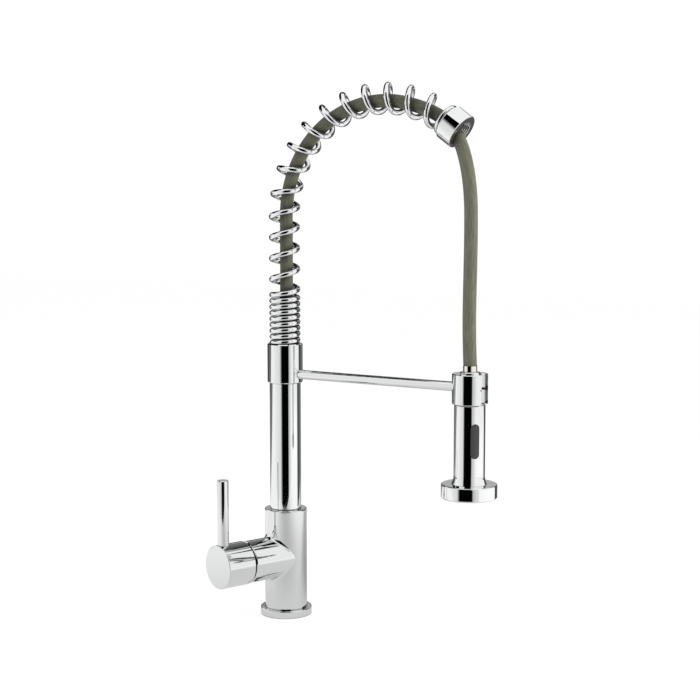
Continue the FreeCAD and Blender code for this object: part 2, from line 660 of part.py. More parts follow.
lever_pin = turned("lever_pin", [
    (0, 0), (s.pin_r, 0), (s.pin_r, pin_length - s.pin_chamfer),
    (s.pin_r - s.pin_chamfer, pin_length), (0, pin_length)])
place(lever_pin, *deck_spot(0, pin_u), s.lateral_z + s.pin_seat)
cap_screw = grub_screw("cap_screw", s.cap_screw_r, s.cap_r - s.screw_sink - half_side)
place(cap_screw, *deck_spot(0, cap_screw_u), s.lateral_z - half_side, axes_to(-UP))

# Riser: its foot turns in the socket of the column on a slip ring
slip_top = column_top + s.slip_stand
turned("slip_ring", [
    (s.foot_r + s.slip_gap, slip_seat_z), (s.slip_ring_r, slip_seat_z), (s.slip_ring_r, slip_top),
    (s.foot_r + s.slip_gap, slip_top)])
riser_bottom = slip_top + s.fit_gap
foot_bottom = socket_floor + s.foot_clear
lower_groove = foot_bottom + s.lower_groove_rise
upper_groove = foot_bottom + s.upper_groove_rise
collar_bottom = riser_bottom + s.riser_length
collar_top = collar_bottom + s.collar_height
arm_z = collar_bottom + s.arm_rise
foot_top = riser_bottom + s.foot_rise
riser_bore_r = s.riser_r - s.riser_wall
groove_r = s.foot_r - s.groove_depth
lock_groove_r = s.foot_r - s.lock_groove_depth
lock_half = s.lock_r + s.slip_gap
nipple_seat_r = s.nipple_r + s.fit_gap
turned("riser_foot", [
    (s.foot_bore_r, foot_bottom), (s.foot_r, foot_bottom),
    (s.foot_r, lower_groove), (groove_r, lower_groove),
    (groove_r, lower_groove + s.groove_height), (s.foot_r, lower_groove + s.groove_height),
    (s.foot_r, upper_groove), (groove_r, upper_groove),
    (groove_r, upper_groove + s.groove_height), (s.foot_r, upper_groove + s.groove_height),
    (s.foot_r, lock_z - lock_half), (lock_groove_r, lock_z - lock_half),
    (lock_groove_r, lock_z + lock_half), (s.foot_r, lock_z + lock_half),
    (s.foot_r, riser_bottom), (riser_bore_r - s.fit_gap, riser_bottom),
    (riser_bore_r - s.fit_gap, foot_top), (nipple_seat_r, foot_top),
    (nipple_seat_r, foot_top - s.nipple_depth), (s.foot_bore_r, foot_top - s.nipple_depth)])
seal_section = s.groove_depth / 2 - s.fit_gap
rings = []
for ring_name, groove in (("lower_ring", lower_groove), ("upper_ring", upper_groove)):
    ring = doc.addObject("Part::Torus", ring_name)
    bind(ring, "Radius1", groove_r + s.fit_gap + seal_section)
    bind(ring, "Radius2", seal_section)
    place(ring, z=groove + s.groove_height / 2)
    rings.append(ring)
foot_seals = doc.addObject("Part::Compound", "foot_seals")
foot_seals.Links = rings
nodes.append(foot_seals)
lock_tip = lock_groove_r + s.slip_gap
lock_screw = grub_screw("lock_screw", s.lock_r, s.column_r - s.screw_sink - lock_tip)
place(lock_screw, -lock_tip, 0, lock_z, BACK)
turned("riser_tube", [
    (riser_bore_r, riser_bottom), (s.riser_r, riser_bottom), (s.riser_r, collar_bottom),
    (riser_bore_r, collar_bottom)])
hose_foot = foot_top + s.nipple_flange
turned("hose_nipple", [
    (s.nipple_bore_r, foot_top - s.nipple_depth), (s.nipple_r, foot_top - s.nipple_depth),
    (s.nipple_r, foot_top), (s.nipple_flange_r, foot_top), (s.nipple_flange_r, hose_foot),
    (s.nipple_bore_r, hose_foot)])
tail_bore_r = s.hose_r + s.fit_gap
turned("hose_tail_sleeve", [
    (tail_bore_r, hose_foot), (tail_bore_r + s.tail_sleeve_wall, hose_foot),
    (tail_bore_r + s.tail_sleeve_wall, hose_foot + s.tail_sleeve),
    (tail_bore_r, hose_foot + s.tail_sleeve)])
neck_end = collar_bottom + s.plug_neck
turned("riser_plug", [
    (s.plug_bore_r, collar_bottom - s.plug_depth),
    (riser_bore_r - s.fit_gap, collar_bottom - s.plug_depth),
    (riser_bore_r - s.fit_gap, collar_bottom), (s.plug_neck_r, collar_bottom),
    (s.plug_neck_r, neck_end), (s.plug_bore_r, neck_end)])

# The spring winds round a middle line that goes straight up, round the arch and a little further
arch_z = collar_top + s.spring_straight
arch_angle = math.radians(s.arch_turn.value)
arch_end = arch_z.value + s.arch_r.value * arch_angle
leg_turn = s.leg_bend.value / s.coil_r.value
FRONT = Vector(0, -1, 0)


def middle_line(reached, radius):
    """The point at a distance along the middle line, its outward side and its direction."""
    bend = max(min(reached, arch_end) - arch_z.value, 0) / s.arch_r.value
    outward = Vector(-math.cos(bend), 0, math.sin(bend))
    forward = Vector(math.sin(bend), 0, math.cos(bend))
    centre = Vector(s.arch_r.value, 0, arch_z.value)
    straight = min(reached - arch_z.value, 0) + max(reached - arch_end, 0)
    return centre + outward * radius + forward * straight, outward, forward


def on_coil(angle, reached):
    """The middle of the wire, and the side it lies on."""
    point, outward, _ = middle_line(reached, s.arch_r.value)
    side = outward * math.cos(angle) + FRONT * math.sin(angle)
    return point + side * s.coil_r.value


def along_coil(angle, reached, pitch):
    """The direction of the wire."""
    _, outward, forward = middle_line(reached, s.arch_r.value)
    round_way = FRONT * math.cos(angle) - outward * math.sin(angle)
    stretch = 1.0
    if arch_z.value < reached < arch_end:
        stretch += s.coil_r.value * math.cos(angle) / s.arch_r.value
    way = round_way * s.coil_r.value + forward * (pitch / (2 * math.pi) * stretch)
    return way.normalize()


def arc_edge(start, way, end):
    """The arc that leaves start in a direction and ends at end, or a straight edge."""
    chord = end - start
    lean = math.acos(max(-1.0, min(1.0, chord.dot(way) / chord.Length)))
    if lean < 1e-4:
        return Part.LineSegment(start, end).toShape()
    across = (way * chord.Length - chord * math.cos(lean)).normalize()
    belly = (start + end) * 0.5 + across * (chord.Length / 2 * math.tan(lean / 2))
    return Part.Arc(start, belly, end).toShape()


def two_arcs(start, way, end, end_way):
    """Two arcs that join start to end smoothly."""
    chord = end - start
    both = way + end_way
    spread = 2 * (1 - way.dot(end_way))
    lead = chord.dot(both)
    if spread < 1e-9:
        run = chord.Length ** 2 / (2 * lead)
    else:
        run = (math.sqrt(lead * lead + spread * chord.Length ** 2) - lead) / spread
    joint = (start + way * run + end - end_way * run) * 0.5
    back = arc_edge(end, -end_way, joint)
    back.reverse()
    return [arc_edge(start, way, joint), back]


def tube(edges, radius):
    """A round solid swept along a smooth path, with its volume compared with section times length."""
    path = Part.Wire(Part.__sortEdges__(edges))
    first = path.OrderedEdges[0]
    start = path.OrderedVertexes[0].Point
    way = first.tangentAt(first.FirstParameter)
    section = Part.Wire([Part.Circle(start, way, radius).toShape()])
    solid = path.makePipeShell([section], True, False)
    ratio = solid.Volume / (math.pi * radius * radius * path.Length)
    return path, solid, ratio


recess_floor = collar_top - s.spring_recess
wire = s.wire_r.value * 2
turns = [(math.radians(s.coil_start.value), recess_floor.value + s.leg_bend.value, s.tight_pitch.value)]
pitches = [s.tight_pitch.value] * TIGHT_QUARTERS
for step in range(RAMP_QUARTERS):
    share = (step + 0.5) / RAMP_QUARTERS
    pitches.append(s.tight_pitch.value + share * (s.open_pitch.value - s.tight_pitch.value))
pitches += [s.open_pitch.value] * OPEN_QUARTERS
# Round the arch the pitch falls a little; the wire then lies flat on the ferrule for half a turn
coil_end = arch_end + s.closing_run.value - s.wire_r.value - s.fit_gap.value
left = coil_end - turns[0][1] - sum(pitches) / 4
shares = [1 + PITCH_FALL * (1 - 2 * step / ARCH_QUARTERS) for step in range(ARCH_QUARTERS - 1)] + [EASING]
pitches += [4 * left * share / sum(shares) for share in shares] + [0.0] * FLAT_QUARTERS
for number, pitch in enumerate(pitches):
    angle, reached, _ = turns[-1]
    after = pitches[min(number + 1, len(pitches) - 1)]
    slope = (pitch + after) / 2 if after else 0.0
    turns.append((angle + math.pi / 2, reached + pitch / 4, slope))
foot_angle = turns[0][0] - leg_turn
foot_leg = on_coil(foot_angle, recess_floor.value)
coil_points = [foot_leg] + [on_coil(angle, reached) for angle, reached, _ in turns]
coil_ways = [Vector(UP)] + [along_coil(*turn) for turn in turns]
spring_edges = [Part.LineSegment(foot_leg - UP * wire, foot_leg).toShape()]
for index in range(len(coil_points) - 1):
    spring_edges += two_arcs(coil_points[index], coil_ways[index],
                             coil_points[index + 1], coil_ways[index + 1])
spring_path, spring_shape, spring_ratio = tube(spring_edges, s.wire_r.value)
solid_node("support_spring", spring_shape)
spring_line = spring_path.discretize(Distance=1.5)
nearest = min(
    (spring_line[i] - spring_line[j]).Length
    for i in range(0, len(spring_line), 2)
    for j in range(i + 14, min(i + 200, len(spring_line))))
print(f"support_spring: {len(pitches) / 4} turns, least gap to itself {nearest - wire:.2f} mm,"
      f" volume {spring_ratio:.4f} of section times length")

# Collar on the neck of the plug, with the foot of the spring in its recess and the arm in its side
recess_r = s.coil_r + s.wire_r + s.spring_clear
collar = turned("collar", [
    (s.plug_neck_r + s.fit_gap, collar_bottom), (s.collar_r - s.collar_chamfer, collar_bottom),
    (s.collar_r, collar_bottom + s.collar_chamfer), (s.collar_r, collar_top - s.collar_chamfer),
    (s.collar_r - s.collar_chamfer, collar_top), (recess_r, collar_top), (recess_r, recess_floor),
    (s.collar_bore_r, recess_floor), (s.collar_bore_r, neck_end + s.slip_gap),
    (s.plug_neck_r + s.fit_gap, neck_end + s.slip_gap)])
wire_hole_r = s.wire_r + s.fit_gap
leg_length = s.wire_r * 2
foot_x = Size(foot_leg.x, f"(0 - sizes.coil_r * cos({foot_angle!r} * 1 rad))")
foot_y = Size(foot_leg.y, f"(0 - sizes.coil_r * sin({foot_angle!r} * 1 rad))")
rod(collar, "wire_hole", wire_hole_r, leg_length, foot_x, foot_y, recess_floor - leg_length)
rod(collar, "arm_hole", s.arm_r + s.fit_gap, s.collar_r, s.collar_r - s.arm_sunk, 0, arm_z, ACROSS)
rod(collar, "screw_hole", s.collar_screw_r + s.fit_gap, s.collar_r, -s.plug_neck_r, 0, arm_z, BACK)
collar_screw = grub_screw("collar_screw", s.collar_screw_r,
                          s.collar_r - s.screw_sink / 2 - s.plug_neck_r - s.fit_gap)
place(collar_screw, -(s.plug_neck_r + s.fit_gap), 0, arm_z, BACK)

# Arm and clip; the handset hangs a little beyond the mouth of the ferrule
turn_cos = Size(math.cos(arch_angle), "cos(sizes.arch_turn * 1 deg)")
turn_sin = Size(math.sin(arch_angle), "sin(sizes.arch_turn * 1 deg)")
mouth_x = s.arch_r - s.arch_r * turn_cos + (s.closing_run + s.ferrule_length) * turn_sin
reach = mouth_x + s.hang_out
clip_bottom = arm_z - s.clip_drop
clip_top = clip_bottom + s.clip_height
arm_length = reach - s.collar_r - s.clip_r + s.arm_sunk * 2
arm = turned("arm_rod", [
    (0, 0), (s.arm_r - s.arm_chamfer, 0), (s.arm_r, s.arm_chamfer),
    (s.arm_r, arm_length - s.arm_chamfer), (s.arm_r - s.arm_chamfer, arm_length), (0, arm_length)])
place(arm, s.collar_r - s.arm_sunk, 0, arm_z, ACROSS)
clip_bore_r = s.neck_r + s.slip_gap
clip = turned("handset_clip", [
    (clip_bore_r, clip_bottom), (s.clip_r - s.clip_chamfer, clip_bottom),
    (s.clip_r, clip_bottom + s.clip_chamfer), (s.clip_r, clip_top - s.clip_chamfer),
    (s.clip_r - s.clip_chamfer, clip_top), (clip_bore_r, clip_top)])
clip_half = s.clip_slot / 2
block(clip, "slot", (s.clip_r * 2, s.clip_slot, clip_top - clip_bottom), 0, -clip_half, clip_bottom)
rod(clip, "arm_hole", s.arm_r + s.fit_gap, s.clip_r, s.arm_sunk - s.clip_r, 0, arm_z, BACK)
pad_z = clip_bottom + (s.clip_height - s.pad_height) / 2
pads = []
for side_name, pad_y, seat_y in (
        ("front", -clip_half - s.pad_depth, -clip_half - s.pad_depth - s.fit_gap),
        ("back", clip_half, clip_half)):
    block(clip, f"{side_name}_seat",
          (s.clip_r, s.pad_depth + s.fit_gap, s.pad_height + s.fit_gap * 2),
          s.pad_in - s.fit_gap, seat_y, pad_z - s.fit_gap)
    pad = doc.addObject("Part::Box", f"{side_name}_pad")
    bind(pad, "Length", s.pad_out - s.pad_in)
    bind(pad, "Width", s.pad_depth)
    bind(pad, "Height", s.pad_height)
    place(pad, reach + s.pad_in, pad_y, pad_z)
    pads.append(pad)
place(clip, reach)
slot_pads = doc.addObject("Part::Compound", "slot_pads")
slot_pads.Links = pads
nodes.append(slot_pads)

# Ferrule on the end of the spring: its spigot sits in the last turn, its bore is threaded
spigot_out_r = s.coil_r - s.wire_r - s.slip_gap / 2
mouth_start = s.ferrule_length - s.ferrule_mouth
ferrule_outline = [
    (s.ferrule_passage_r, -s.ferrule_spigot), (spigot_out_r, -s.ferrule_spigot), (spigot_out_r, 0),
    (s.ferrule_r - s.ferrule_chamfer, 0), (s.ferrule_r, s.ferrule_chamfer),
    (s.ferrule_r, s.ferrule_length - s.ferrule_edge),
    (s.ferrule_r - s.ferrule_edge, s.ferrule_length),
    (s.ferrule_bore_r + s.ferrule_mouth, s.ferrule_length),
    Bend(s.ferrule_bore_r, mouth_start, s.ferrule_mouth, 1)]
for index in range(THREAD_RINGS):
    crest = mouth_start - s.thread_pitch * index
    ferrule_outline += [
        (s.ferrule_bore_r, crest - s.thread_depth / 2),
        (s.ferrule_bore_r + s.thread_depth, crest - s.thread_pitch / 2),
        (s.ferrule_bore_r, crest - s.thread_pitch + s.thread_depth / 2)]
ferrule_outline += [(s.ferrule_bore_r, s.ferrule_wall), (s.ferrule_passage_r, s.ferrule_wall)]
ferrule = turned("spring_ferrule", ferrule_outline)
ferrule_spot, arch_out, ferrule_way = middle_line(arch_end + s.closing_run.value, s.arch_r.value)
ferrule.Placement = FreeCAD.Placement(
    ferrule_spot, FreeCAD.Rotation(arch_out, FRONT, ferrule_way, "ZXY"))


def at_mouth(beyond, inward):
    """A point beyond the mouth of the ferrule, on the inner side of its axis."""
    along = s.ferrule_length.value + beyond
    return ferrule_spot + ferrule_way * along - arch_out * inward


# Hose inside the spring: up the riser, over to the inner side of the coils and round the arch
lean_start = collar_top + s.lean_up
lean_end = lean_start + s.lean_length
hose_leave = s.arch_turn + s.leave_turn
lean = s.hose_lean.value
hose_arch_r = s.arch_r.value - lean
leave_bend = math.radians(hose_leave.value)
leave_out = Vector(-math.cos(leave_bend), 0, math.sin(leave_bend))
arch_centre = Vector(s.arch_r.value, 0, arch_z.value)
leave_way = Vector(math.sin(leave_bend), 0, math.cos(leave_bend))
neck_top = clip_top + s.neck_stand
sleeve_top = neck_top + s.sleeve_stand
first_corner = at_mouth(s.fall_out.value, s.fall_drop.value)
last_corner = Vector(reach.value, 0, ferrule_spot.z - s.hang_drop.value)
fall = last_corner - first_corner
drop_points = [
    at_mouth(-s.mouth_inset.value, s.mouth_drop.value),
    first_corner,
    first_corner + Vector(fall.x * SECOND_CORNER[0], 0, fall.z * SECOND_CORNER[1]),
    last_corner,
    Vector(reach.value, 0, sleeve_top.value)]
drop_way = (drop_points[1] - drop_points[0]).normalize()
# The lip of the ferrule is relieved where the hose turns down
tilt_tan = (s.fall_drop - s.mouth_drop) / (s.fall_out + s.mouth_inset)
tilt = math.atan(tilt_tan.value)
tilt_cos = Size(math.cos(tilt), f"cos(atan({tilt_tan.text}))")
tilt_sin = Size(math.sin(tilt), f"sin(atan({tilt_tan.text}))")
rod(ferrule, "relief", s.hose_r + s.relief_gap, s.relief_back * 3,
    s.relief_back * tilt_sin - s.mouth_drop, 0,
    s.ferrule_length - s.mouth_inset - s.relief_back * tilt_cos,
    axes_to(Vector(-math.sin(tilt), 0, math.cos(tilt))))
hose_start = Vector(0, 0, hose_foot.value)
lean_foot = Vector(0, 0, lean_start.value)
lean_head = Vector(lean, 0, lean_end.value)
arch_foot = Vector(lean, 0, arch_z.value)
leave_point = arch_centre + leave_out * hose_arch_r
half_bend = Vector(-math.cos(leave_bend / 2), 0, math.sin(leave_bend / 2))
hose_edges = [
    Part.LineSegment(hose_start, lean_foot).toShape(),
    *two_arcs(lean_foot, Vector(UP), lean_head, Vector(UP)),
    Part.LineSegment(lean_head, arch_foot).toShape(),
    Part.Arc(arch_foot, arch_centre + half_bend * hose_arch_r, leave_point).toShape(),
    *two_arcs(leave_point, leave_way, drop_points[0], drop_way)]
_, hose_shape, hose_ratio = tube(hose_edges, s.hose_r.value)
solid_node("hose_in_spring", hose_shape)
print(f"hose_in_spring: volume {hose_ratio:.4f} of section times length")

# Hose from the ferrule down to the handset: straight runs joined by arcs as large as the runs allow
drop_edges = []
drop_start = drop_points[0]
for index in range(1, len(drop_points) - 1):
    before, corner, after = drop_points[index - 1:index + 2]
    way = (corner - before).normalize()
    next_way = (after - corner).normalize()
    half_turn = way.getAngle(next_way) / 2
    cut = 0.45 * min((corner - before).Length, (after - corner).Length)
    arc_start = corner - way * cut
    arc_end = corner + next_way * cut
    drop_edges.append(Part.LineSegment(drop_start, arc_start).toShape())
    drop_edges.append(arc_edge(arc_start, way, arc_end))
    drop_start = arc_end
    print(f"hose_drop: bend {index} has a radius of {cut / math.tan(half_turn):.1f} mm")
drop_edges.append(Part.LineSegment(drop_start, drop_points[-1]).toShape())
drop_path, drop_shape, drop_ratio = tube(drop_edges, s.hose_r.value)
solid_node("hose_drop", drop_shape)
print(f"hose_drop: {drop_path.Length:.1f} mm, volume {drop_ratio:.4f} of section times length")

# Handset: the crimped sleeve of the hose turns in its neck
HANDSET_AXES = FreeCAD.Rotation(UP, s.button_turn.value)


def in_hand(body):
    place(body, reach, axes=HANDSET_AXES)


shell_top = clip_bottom - s.shell_gap
flange_top = shell_top - s.shell_length
flange_bottom = flange_top - s.flange_height
button_z = shell_top - s.button_drop
shell_ceiling = shell_top - s.shell_top_wall
core_top = shell_ceiling - s.neck_flange
lip_z = neck_top - s.neck_lip
sleeve_flange_top = lip_z - s.fit_gap
sleeve_flange_z = sleeve_flange_top - s.sleeve_flange
nose_z = sleeve_flange_z - s.nose
washer_top = sleeve_flange_z - s.fit_gap
valve_top = washer_top - s.washer_height
sleeve = turned("hose_end_sleeve", [
    (s.sleeve_bore_r, nose_z), (s.nose_r, nose_z), (s.nose_r, sleeve_flange_z),
    (s.sleeve_flange_r, sleeve_flange_z), (s.sleeve_flange_r, sleeve_flange_top),
    (s.sleeve_r, sleeve_flange_top), (s.sleeve_r, sleeve_top), (s.sleeve_bore_r, sleeve_top)])
place(sleeve, reach)
neck = turned("hose_neck", [
    (s.neck_hollow_r, core_top), (s.neck_flange_r, core_top), (s.neck_flange_r, shell_ceiling),
    (s.neck_r, shell_ceiling), (s.neck_r, neck_top - s.neck_chamfer),
    (s.neck_r - s.neck_chamfer, neck_top), (s.sleeve_r + s.fit_gap, neck_top),
    (s.sleeve_r + s.fit_gap, lip_z), (s.neck_hollow_r, lip_z)])
in_hand(neck)
washer = turned("neck_washer", [
    (s.nose_r + s.slip_gap, valve_top), (s.neck_hollow_r - s.fit_gap, valve_top),
    (s.neck_hollow_r - s.fit_gap, washer_top), (s.nose_r + s.slip_gap, washer_top)])
in_hand(washer)
valve = turned("check_valve", [
    (s.valve_bore_r, core_top), (s.valve_r, core_top), (s.valve_r, valve_top),
    (s.nose_r + s.slip_gap, valve_top), (s.nose_r + s.slip_gap, nose_z - s.slip_gap),
    (s.valve_bore_r, nose_z - s.slip_gap)])
in_hand(valve)

# Shell with its flare and flange
face_r = s.flange_r - s.flange_wall
face_z = flange_bottom + s.face_sunk
face_top = face_z + s.face_height
chamber_top = face_top + s.chamber
flare_out = s.flare_foot_r - s.shell_r
flare_r = (flare_out * flare_out + s.flare_height * s.flare_height) / (flare_out * 2)
shell_bore_r = s.shell_r - s.shell_wall
face_seat_r = face_r + s.fit_gap
shell = turned("handset_shell", [
    (shell_bore_r, shell_ceiling), (s.neck_r + s.fit_gap, shell_ceiling),
    (s.neck_r + s.fit_gap, shell_top), (s.shell_r - s.shell_round, shell_top),
    Bend(s.shell_r, shell_top - s.shell_round, s.shell_round, -1),
    (s.shell_r, flange_top + s.flare_height), Bend(s.flare_foot_r, flange_top, flare_r),
    (s.flange_r - s.flange_round, flange_top),
    Bend(s.flange_r, flange_top - s.flange_round, s.flange_round, -1),
    (s.flange_r, flange_bottom + s.flange_round),
    Bend(s.flange_r - s.flange_round, flange_bottom, s.flange_round, -1),
    (face_seat_r, flange_bottom), (face_seat_r, chamber_top), (shell_bore_r, chamber_top)])


def oblong(body, name, width, length, near, far, kind="Subtractive"):
    """An upright oblong with round ends, from near to far off the handset axis."""
    straight = length - width
    block(body, f"{name}_middle", (far - near, width, straight), near, -(width / 2),
          button_z - straight / 2, kind=kind)
    rod(body, f"{name}_top", width / 2, far - near, near, 0, button_z + straight / 2, ACROSS, kind)
    rod(body, f"{name}_foot", width / 2, far - near, near, 0, button_z - straight / 2, ACROSS, kind)


button_hole = s.button_width + s.slip_gap * 2
oblong(shell, "button_hole", button_hole, s.button_length + s.slip_gap * 2, s.core_bore_r, s.flange_r)
in_hand(shell)

# Core, with the pocket of the button
core = turned("handset_core", [
    (s.core_bore_r, face_top), (s.core_r, face_top), (s.core_r, core_top), (s.core_bore_r, core_top)])
lip_width = s.button_width + s.button_lip_width * 2
lip_length = s.button_length + s.button_lip_width * 2
pocket_floor = s.button_back - s.button_travel - s.slip_gap
oblong(core, "pocket", lip_width + s.slip_gap * 2, lip_length + s.slip_gap * 2, pocket_floor, s.flange_r)
rod(core, "plunger_hole", s.plunger_r + s.fit_gap, s.core_r, 0, 0, button_z, ACROSS)
rod(core, "spring_seat", s.return_r + s.slip_gap, s.core_r, s.return_seat, 0, button_z, ACROSS)
in_hand(core)

# Button, with a lip behind the shell and a face as round as the shell
button = doc.addObject("PartDesign::Body", "spray_button")
nodes.append(button)
oblong(button, "stem", s.button_width, s.button_length, s.button_back, s.shell_r, "Additive")
oblong(button, "lip", lip_width, lip_length, s.button_back, s.button_back + s.button_lip, "Additive")
face_plane = [f for f in button.Origin.OriginFeatures if f.Role == "XZ_Plane"][0]
face_sketch = button.newObject("Sketcher::SketchObject", "spray_button_face_outline")
face_sketch.AttachmentSupport = [(face_plane, "")]
face_sketch.MapMode = "FlatFace"
draw(face_sketch, [
    (s.button_face, flange_top), (s.flange_r, flange_top), (s.flange_r, shell_top),
    (s.button_face, shell_top)])
face_cut = feature(button, "Groove", "face")
face_cut.Profile = face_sketch
face_cut.ReferenceAxis = (face_sketch, ["V_Axis"])
face_cut.Angle = 360
button.Tip = face_cut
in_hand(button)
plunger_length = s.button_back - s.plunger_tip
plunger = turned("button_plunger", [
    (0, 0), (s.plunger_r, 0), (s.plunger_r, plunger_length), (0, plunger_length)])
PRESS = HANDSET_AXES.multVec(Vector(1, 0, 0))
press_x = Size(PRESS.x, "cos(sizes.button_turn * 1 deg)")
press_y = Size(PRESS.y, "sin(sizes.button_turn * 1 deg)")


def off_axis(body, distance):
    """Put a piece on the axis of the plunger."""
    place(body, reach + press_x * distance, press_y * distance, button_z, axes_to(PRESS))


off_axis(plunger, s.plunger_tip)
return_length = s.button_back - s.return_seat
return_spring = turned("button_spring", [
    (s.return_r - s.return_wall, 0), (s.return_r, 0), (s.return_r, return_length),
    (s.return_r - s.return_wall, return_length)])
off_axis(return_spring, s.return_seat)

# Spray face, nozzles and aerator
outer_nozzle_r = face_r - s.nozzle_inset
spray_face = turned("spray_face", [
    (s.aerator_r + s.fit_gap, face_z), (face_r, face_z), (face_r, face_top),
    (s.aerator_r + s.fit_gap, face_top)])
for ring_name, count, radius in (("outer", s.outer_nozzles, outer_nozzle_r),
                                 ("inner", s.inner_nozzles, s.inner_nozzle_r)):
    hole = rod(spray_face, f"{ring_name}_hole", s.nozzle_r + s.fit_gap, s.face_height, radius, 0, face_z)
    ring_of(spray_face, hole, count)
in_hand(spray_face)
nozzle_z = (face_z - s.nozzle_stand).value
nozzle_list = []
for count, radius in ((s.outer_nozzles, outer_nozzle_r), (s.inner_nozzles, s.inner_nozzle_r)):
    for index in range(int(count.value)):
        bearing = 2 * math.pi * index / int(count.value)
        spot = Vector(radius.value * math.cos(bearing), radius.value * math.sin(bearing), nozzle_z)
        nozzle_list.append(Part.makeCylinder(s.nozzle_r.value, s.nozzle_length.value, spot))
nozzles = solid_node("spray_nozzles", Part.makeCompound(nozzle_list))
in_hand(nozzles)
aerator_z = flange_bottom + s.face_sunk / 2
aerator = turned("aerator", [
    (0, aerator_z + s.aerator_hollow), (s.aerator_r - s.aerator_lip, aerator_z + s.aerator_hollow),
    (s.aerator_r - s.aerator_lip, aerator_z), (s.aerator_r, aerator_z), (s.aerator_r, face_top),
    (0, face_top)])
in_hand(aerator)

doc.recompute()
for thing in doc.Objects:
    if "Invalid" in thing.State or "Error" in thing.State:
        raise RuntimeError(f"{thing.Label} did not build: {thing.State}")
for node in nodes:
    if node.Shape.isNull() or not node.Shape.isValid():
        raise RuntimeError(f"{node.Label} has no valid shape")
os.makedirs("parts", exist_ok=True)
for node in nodes:
    node.Shape.exportStep(f"parts/{node.Label}.step")
print(f"{len(nodes)} pieces")
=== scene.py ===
import math
import bpy
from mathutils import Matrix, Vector


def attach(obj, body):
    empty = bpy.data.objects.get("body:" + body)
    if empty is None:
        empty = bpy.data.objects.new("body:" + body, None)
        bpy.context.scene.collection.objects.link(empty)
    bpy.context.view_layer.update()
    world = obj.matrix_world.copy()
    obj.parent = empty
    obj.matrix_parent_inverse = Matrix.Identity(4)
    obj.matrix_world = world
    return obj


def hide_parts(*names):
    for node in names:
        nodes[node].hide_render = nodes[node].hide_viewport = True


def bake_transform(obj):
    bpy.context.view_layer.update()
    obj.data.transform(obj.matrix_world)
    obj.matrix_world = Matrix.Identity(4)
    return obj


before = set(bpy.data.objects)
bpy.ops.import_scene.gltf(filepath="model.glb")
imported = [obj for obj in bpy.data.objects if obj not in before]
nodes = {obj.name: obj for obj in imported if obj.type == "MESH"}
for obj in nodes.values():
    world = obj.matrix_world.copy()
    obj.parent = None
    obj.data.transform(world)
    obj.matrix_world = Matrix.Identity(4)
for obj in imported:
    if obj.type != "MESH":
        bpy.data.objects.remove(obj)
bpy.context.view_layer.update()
scene = bpy.context.scene
scene.view_settings.view_transform = "Standard"

# Camera: stands in front and to the right of the tap, higher than the clip.
# A long lens from 1.7 m keeps the upright pieces nearly parallel.
camera = bpy.data.objects.new("camera", bpy.data.cameras.new("camera"))
scene.collection.objects.link(camera)
camera.location = (0.9048, -1.4074, 0.4818)
camera.rotation_euler = Vector((-0.5022, 0.8569, -0.1165)).to_track_quat("-Z", "Y").to_euler()
camera.data.lens = 81.5
camera.data.sensor_width = 36.0
scene.camera = camera


# Studio: a white room with a large soft lamp on the left and a small one on the right.
# The room is white to the eye and to polished metal; the light that it sheds is a little lower.
def linear(code):
    """The linear colour of an sRGB hex value."""
    parts = [int(code[i:i + 2], 16) / 255 for i in (0, 2, 4)]
    return [c / 12.92 if c <= 0.04045 else ((c + 0.055) / 1.055) ** 2.4 for c in parts] + [1.0]


def put(tree, kind, inputs=None, **settings):
    """Add a node with its settings, and its inputs, by name or number, as values or links."""
    node = tree.nodes.new(kind)
    for key, value in settings.items():
        setattr(node, key, value)
    for key, value in (inputs or {}).items():
        if isinstance(value, bpy.types.NodeSocket):
            tree.links.new(value, node.inputs[key])
        else:
            node.inputs[key].default_value = value
    return node


def bare_material(name):
    """A new material with an empty node tree."""
    material = bpy.data.materials.new(name)
    material.use_nodes = True
    material.node_tree.nodes.clear()
    return material, material.node_tree


def seen_rays(tree, ray):
    """One for rays from the eye, straight or by way of a mirror or a clear piece, and nought for others."""
    seen = put(tree, "ShaderNodeMath", {0: ray.outputs["Is Camera Ray"], 1: ray.outputs["Is Glossy Ray"]},
               operation="MAXIMUM")
    return put(tree, "ShaderNodeMath", {0: seen.outputs[0], 1: ray.outputs["Is Transmission Ray"]},
               operation="MAXIMUM")


room = bpy.data.worlds.new("white room")
scene.world = room
room.use_nodes = True
tree = room.node_tree
tree.nodes.clear()
seen = seen_rays(tree, put(tree, "ShaderNodeLightPath"))
level = put(tree, "ShaderNodeMapRange", {"Value": seen.outputs[0], "To Min": 0.62, "To Max": 1.02})
sky = put(tree, "ShaderNodeBackground", {"Color": linear("ffffff"), "Strength": level.outputs[0]})
put(tree, "ShaderNodeOutputWorld", {"Surface": sky.outputs[0]})


def soft_lamp(name, size, energy, place, aim):
    """A square lamp that lights the object and does not show in its metal."""
    lamp = bpy.data.objects.new(name, bpy.data.lights.new(name, "AREA"))
    scene.collection.objects.link(lamp)
    lamp.data.shape = "SQUARE"
    lamp.data.size = size
    lamp.data.energy = energy
    lamp.location = place
    lamp.visible_glossy = False
    lamp.rotation_euler = (Vector(aim) - lamp.location).to_track_quat("-Z", "Y").to_euler()


soft_lamp("left_lamp", 1.0, 7.0, (-0.57, -1.43, 1.4), (0.1, 0.0, 0.3))
soft_lamp("right_lamp", 0.7, 13.0, (1.30, 0.45, 0.75), (0.2, 0.0, 0.35))


# Table: a white sheet under the tap, which keeps a faint shadow of it.
# In polished metal it carries painted shade: it is dimmer near the tap, in front of it and in a patch behind
# the column, and farther behind the tap it ends in the dark.
def flat_sheet(name, corners):
    """One four-sided sheet."""
    mesh = bpy.data.meshes.new(name)
    mesh.from_pydata(corners, [], [(0, 1, 2, 3)])
    sheet = bpy.data.objects.new(name, mesh)
    scene.collection.objects.link(sheet)
    return sheet


